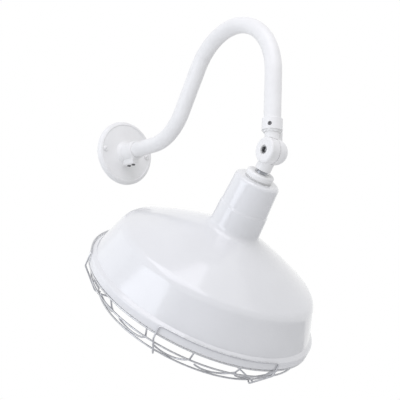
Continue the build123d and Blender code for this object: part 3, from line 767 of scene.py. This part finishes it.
class LIGHT_OT_guard_rings(bpy.types.Operator):
    """Make the guard's wire rings"""

    bl_idname = "light.guard_rings"
    bl_label = "Guard rings"

    def execute(self, context):
        guard = context.scene.light_guard
        thick = guard.wire / 2
        rings = {
            "guard_seat_ring": (guard.seat_radius, thick + guard.weld_gap, SIDE_RING_SEGMENTS),
            "guard_ring_a": (guard.ring_a_radius, guard.ring_a_depth, SIDE_RING_SEGMENTS),
            "guard_ring_b": (guard.ring_b_radius, guard.ring_b_depth, SIDE_RING_SEGMENTS),
            "guard_ring_c": (guard.ring_c_radius, guard.ring_b_depth, RING_C_SEGMENTS),
            "guard_ring_d": (guard.ring_d_radius, guard.ring_b_depth, RING_D_SEGMENTS),
        }
        for node, (radius, depth, segments) in rings.items():
            section = [(radius + thick * x, thick * y - depth) for x, y in around(RING_SIDES)]
            work = turned(section, rim_place(), segments)
            place_piece(f"{node}_wire", "head", "wire", work, (node,))
        return {"FINISHED"}


def hairpin_spots(guard):
    """Radius and depth of a hairpin's leg top, leg foot and lowest point, and the angle of its leg."""
    ring_a = Vector((guard.ring_a_radius, guard.ring_a_depth))
    ring_b = Vector((guard.ring_b_radius, guard.ring_b_depth))
    slope = (ring_b - ring_a).normalized()
    inside = Vector((-slope.y, slope.x)) * (guard.wire + guard.weld_gap)
    leg_top = Vector((guard.seat_radius - guard.wire - guard.weld_gap, guard.wire / 2))
    leg_foot = ring_a + inside + Vector((-guard.foot_inset, guard.foot_drop))
    return leg_top, leg_foot, ring_b + inside, pi / guard.hairpin_count - guard.hairpin_gap


class LIGHT_OT_guard_hairpins(bpy.types.Operator):
    """Bend the guard's hairpins and cut its spokes"""

    bl_idname = "light.guard_hairpins"
    bl_label = "Guard hairpins"

    def execute(self, context):
        guard = context.scene.light_guard
        leg_top, leg_foot, loop_end, leg_angle = hairpin_spots(guard)
        path = [on_guard(*leg_top, leg_angle)]
        for step in range(HAIRPIN_STEPS + 1):
            turn = pi / 2 + (guard.hairpin_end - pi / 2) * step / HAIRPIN_STEPS
            spot = leg_foot.lerp(loop_end, cos(turn))
            path.append(on_guard(*spot, leg_angle * sin(turn)))
        work = bmesh.new()
        for turn in spread_out(guard.hairpin_first, guard.hairpin_count):
            place = rim_place(turn)
            swept([place @ point for point in path], guard.wire / 2, WIRE_SIDES, work)
        place_piece("guard_hairpin_wires", "head", "wire", work, ("guard_hairpins",))
        work = bmesh.new()
        depth = guard.ring_b_depth + guard.wire + guard.weld_gap
        ends = (guard.ring_d_radius - guard.wire, guard.ring_b_radius + guard.wire / 2)
        for turn in spread_out(guard.spoke_first, guard.spoke_count):
            path = [rim_place() @ on_guard(end, depth, turn) for end in ends]
            swept(path, guard.wire / 2, WIRE_SIDES, work)
        place_piece("guard_spoke_wires", "head", "wire", work, ("guard_spokes",))
        return {"FINISHED"}


class LIGHT_OT_guard_welds(bpy.types.Operator):
    """Set a small weld wherever two wires of the guard meet"""

    bl_idname = "light.guard_welds"
    bl_label = "Guard welds"

    def execute(self, context):
        guard = context.scene.light_guard
        leg_top, leg_foot, loop_end, leg_angle = hairpin_spots(guard)
        ring_a = Vector((guard.ring_a_radius, guard.ring_a_depth))
        ring_b = Vector((guard.ring_b_radius, guard.ring_b_depth))
        seat_depth = guard.wire / 2 + guard.weld_gap
        seat_radius = (guard.seat_radius + leg_top.x) / 2
        spots = []
        for turn in spread_out(guard.hairpin_first, guard.hairpin_count):
            spots.append(on_guard(*ring_b.lerp(loop_end, 0.5), turn))
            spots.append(on_guard(*ring_a.lerp(leg_foot, 0.5), turn + leg_angle))
            spots.append(on_guard(seat_radius, seat_depth, turn + leg_angle))
        depth = guard.ring_b_depth + (guard.wire + guard.weld_gap) / 2
        for turn in spread_out(guard.spoke_first, guard.spoke_count):
            for radius in (guard.ring_b_radius, guard.ring_c_radius, guard.ring_d_radius):
                spots.append(on_guard(radius, depth, turn))
        bead = Matrix.Diagonal((*guard.weld_bead, 1))
        work = bmesh.new()
        for spot in spots:
            place = rim_place() @ Matrix.Translation(spot) @ Matrix.Rotation(atan2(spot.y, spot.x), 4, "Z")
            bmesh.ops.create_icosphere(work, subdivisions=2, radius=1, matrix=place @ bead)
        place_piece("guard_weld_beads", "head", "wire", work)
        return {"FINISHED"}


class LIGHT_OT_guard_bails(bpy.types.Operator):
    """Bend the three wire bails that latch the guard"""

    bl_idname = "light.guard_bails"
    bl_label = "Guard bails"

    def execute(self, context):
        guard = context.scene.light_guard
        shade = context.scene.light_shade
        half = guard.bail_half_angle
        out = guard.ring_b_radius * cos(half)
        across = guard.ring_b_radius * sin(half)
        catch = shade.rim_corner + guard.wire / 2 + guard.swing_gap
        catch_radius = shade.rim_radius - shade.rim_corner + catch * sin(guard.catch_angle)
        slope = atan2(shade.step_height - shade.rim_face, shade.ledge_width)
        corner_height = shade.rim_face + shade.rim_corner * (tan(slope) - 1 / cos(slope))
        catch_depth = -corner_height - catch * cos(guard.catch_angle)
        leg_radius = shade.rim_radius + guard.wire / 2 + guard.leg_gap
        catch_turn = half - acos(catch_radius / leg_radius)
        foot = -guard.ring_b_depth - guard.hook_radius

        def leg(side):
            spots = [
                on_guard(catch_radius, catch_depth, side * catch_turn),
                on_guard(leg_radius, catch_depth, side * half),
                on_guard(leg_radius, guard.knee, side * half),
                Vector((out + guard.toe, side * across, foot)),
                Vector((out, side * across, foot)),
            ]
            points = rounded(spots, [guard.bail_bend, guard.knee_bend, guard.bail_bend], BAIL_BEND_STEPS)
            for step in range(1, HOOK_STEPS + 1):
                turn = guard.hook_end * step / HOOK_STEPS
                inward, lift = guard.hook_radius * sin(turn), guard.hook_radius * (1 - cos(turn))
                points.append(Vector((out - inward, side * across, foot + lift)))
            return points

        bow = [
            on_guard(catch_radius, catch_depth, catch_turn * (2 * step / BOW_STEPS - 1))
            for step in range(1, BOW_STEPS)
        ]
        path = leg(-1)[::-1] + bow + leg(1)
        for number, turn in enumerate(spread_out(guard.bail_first, guard.bail_count), 1):
            place = rim_place(turn)
            work = swept([place @ point for point in path], guard.wire / 2, WIRE_SIDES)
            place_piece(f"bail_wire_{number}", f"bail_{number}", "wire", work, (f"guard_bail_{number}",))
        return {"FINISHED"}


# Softboxes: degrees to the camera's right and up, distance, width, height, watts, tint
LAMPS = {
    "left_strip": (-54, 11, 1.5, 1.25, 0.75, 5.9, (0.86, 0.9, 1.0)),
    "left_side": (-112, 18, 1.7, 1.3, 1.3, 1.6, (0.9, 0.94, 1.0)),
    "overhead": (12, 66, 1.8, 1.4, 1.4, 11, (0.94, 0.92, 1.0)),
    "right_top": (70, 50, 1.8, 1.2, 1.2, 2, (0.97, 1.0, 1.0)),
}
WHITE = {"Color": (1, 1, 1, 1), "Strength": 1}
SOFT_LIGHT = {"Color": (0.965, 0.97, 1, 1), "Strength": 0.62}
FLOOR_COLOURS = (0.86, 0.86, 0.86), (0.88, 0.88, 0.88)


class LIGHT_OT_stage(bpy.types.Operator):
    """Set the floor, the studio lights and the camera"""

    bl_idname = "light.stage"
    bl_label = "Stage"

    def execute(self, context):
        scene = context.scene
        stage = scene.light_stage
        scene.view_settings.view_transform = "Standard"
        self.set_world(scene)
        self.set_floor(scene, stage)
        right, up, back = self.set_camera(scene, stage)
        for name, (turn, height, away, width, tall, power, tint) in LAMPS.items():
            turn, height = radians(turn), radians(height)
            way = right * sin(turn) * cos(height) + up * sin(height) + back * cos(turn) * cos(height)
            data = bpy.data.lights.new(name, "AREA")
            data.shape = "RECTANGLE"
            data.size = width
            data.size_y = tall
            data.energy = power
            data.color = tint
            lamp = bpy.data.objects.new(name, data)
            lamp.location = Vector(stage.aim) + way * away
            lamp.rotation_mode = "QUATERNION"
            lamp.rotation_quaternion = way.to_track_quat("Z", "Y")
            scene.collection.objects.link(lamp)
        return {"FINISHED"}

    def set_world(self, scene):
        """White behind the light and in its reflections, softer where it lights."""
        world = bpy.data.worlds.new("studio")
        world.use_nodes = True
        scene.world = world
        tree = world.node_tree
        rays = add_node(tree, "LightPath").outputs
        seen = rays["Is Camera Ray"]
        for kind in ("Is Glossy Ray", "Is Transmission Ray"):
            seen = add_node(tree, "Math", {0: seen, 1: rays[kind]}, operation="MAXIMUM").outputs["Value"]
        soft = add_node(tree, "Background", SOFT_LIGHT).outputs["Background"]
        white = add_node(tree, "Background", WHITE).outputs["Background"]
        mix = add_node(tree, "MixShader", {"Fac": seen, 1: soft, 2: white})
        tree.links.new(mix.outputs["Shader"], tree.nodes["World Output"].inputs["Surface"])

    def set_floor(self, scene, stage):
        """Plain pale floor some way below the light."""
        work = bmesh.new()
        bmesh.ops.create_circle(work, cap_ends=True, segments=FLOOR_SEGMENTS, radius=stage.floor_radius)
        mesh = bpy.data.meshes.new("floor")
        work.to_mesh(mesh)
        work.free()
        finish, tree = blank_finish("pale_floor")
        lay_colours(tree, lay_noise(tree, scale=3, detail=3), *FLOOR_COLOURS)
        lay_roughness(tree, lay_noise(tree, scale=12, detail=2), low=0.8, high=0.9)
        mesh.materials.append(finish)
        floor = bpy.data.objects.new("floor", mesh)
        floor.location = (0, stage.floor_centre, cad_low.z - stage.floor_drop)
        scene.collection.objects.link(floor)

    def set_camera(self, scene, stage):
        """Camera at the photograph's angle; gives its right, up and back."""
        turn, height = stage.azimuth, stage.elevation
        back = Vector((sin(turn) * cos(height), -cos(turn) * cos(height), sin(height)))
        level = Vector((cos(turn), sin(turn), 0))
        upright = back.cross(level)
        right = level * cos(stage.roll) + upright * sin(stage.roll)
        up = upright * cos(stage.roll) - level * sin(stage.roll)
        data = bpy.data.cameras.new("camera")
        data.sensor_width = stage.sensor
        data.lens = stage.lens
        camera = bpy.data.objects.new("camera", data)
        spot = Vector(stage.aim) + back * stage.distance
        camera.matrix_world = Matrix.Translation(spot) @ Matrix((right, up, back)).transposed().to_4x4()
        scene.collection.objects.link(camera)
        scene.camera = camera
        return right, up, back


OPERATORS = (
    LIGHT_OT_arm,
    LIGHT_OT_wall_plate,
    LIGHT_OT_swivel,
    LIGHT_OT_nipple,
    LIGHT_OT_shade,
    LIGHT_OT_hub,
    LIGHT_OT_lampholder,
    LIGHT_OT_guard_rings,
    LIGHT_OT_guard_hairpins,
    LIGHT_OT_guard_welds,
    LIGHT_OT_guard_bails,
    LIGHT_OT_stage,
)
GROUPS = {
    "light_arm": ArmSizes,
    "light_shade": ShadeSizes,
    "light_holder": HolderSizes,
    "light_guard": GuardSizes,
    "light_colours": FinishColours,
    "light_stage": StageSizes,
}


class LIGHT_PT_panel(bpy.types.Panel):
    """Sizes, colours and the steps that build the light"""

    bl_idname = "LIGHT_PT_panel"
    bl_label = "Wall light"
    bl_space_type = "VIEW_3D"
    bl_region_type = "UI"
    bl_category = "Wall light"

    def draw(self, context):
        for operator in OPERATORS:
            self.layout.operator(operator.bl_idname)
        for key, group in GROUPS.items():
            box = self.layout.box()
            box.label(text=group.__doc__)
            for name in group.__annotations__:
                box.prop(getattr(context.scene, key), name)


def register():
    for kind in (*GROUPS.values(), *OPERATORS, LIGHT_PT_panel):
        bpy.utils.register_class(kind)
    for key, group in GROUPS.items():
        setattr(bpy.types.Scene, key, PointerProperty(type=group))


def unregister():
    for key in GROUPS:
        delattr(bpy.types.Scene, key)
    for kind in (LIGHT_PT_panel, *reversed(OPERATORS), *reversed(GROUPS.values())):
        bpy.utils.unregister_class(kind)


def main():
    """Registers the classes and runs every step in order."""
    register()
    for operator in OPERATORS:
        step = operator.bl_idname.split(".")[1]
        getattr(bpy.ops.light, step)()
    bpy.context.view_layer.update()


if __name__ == "__main__":
    main()
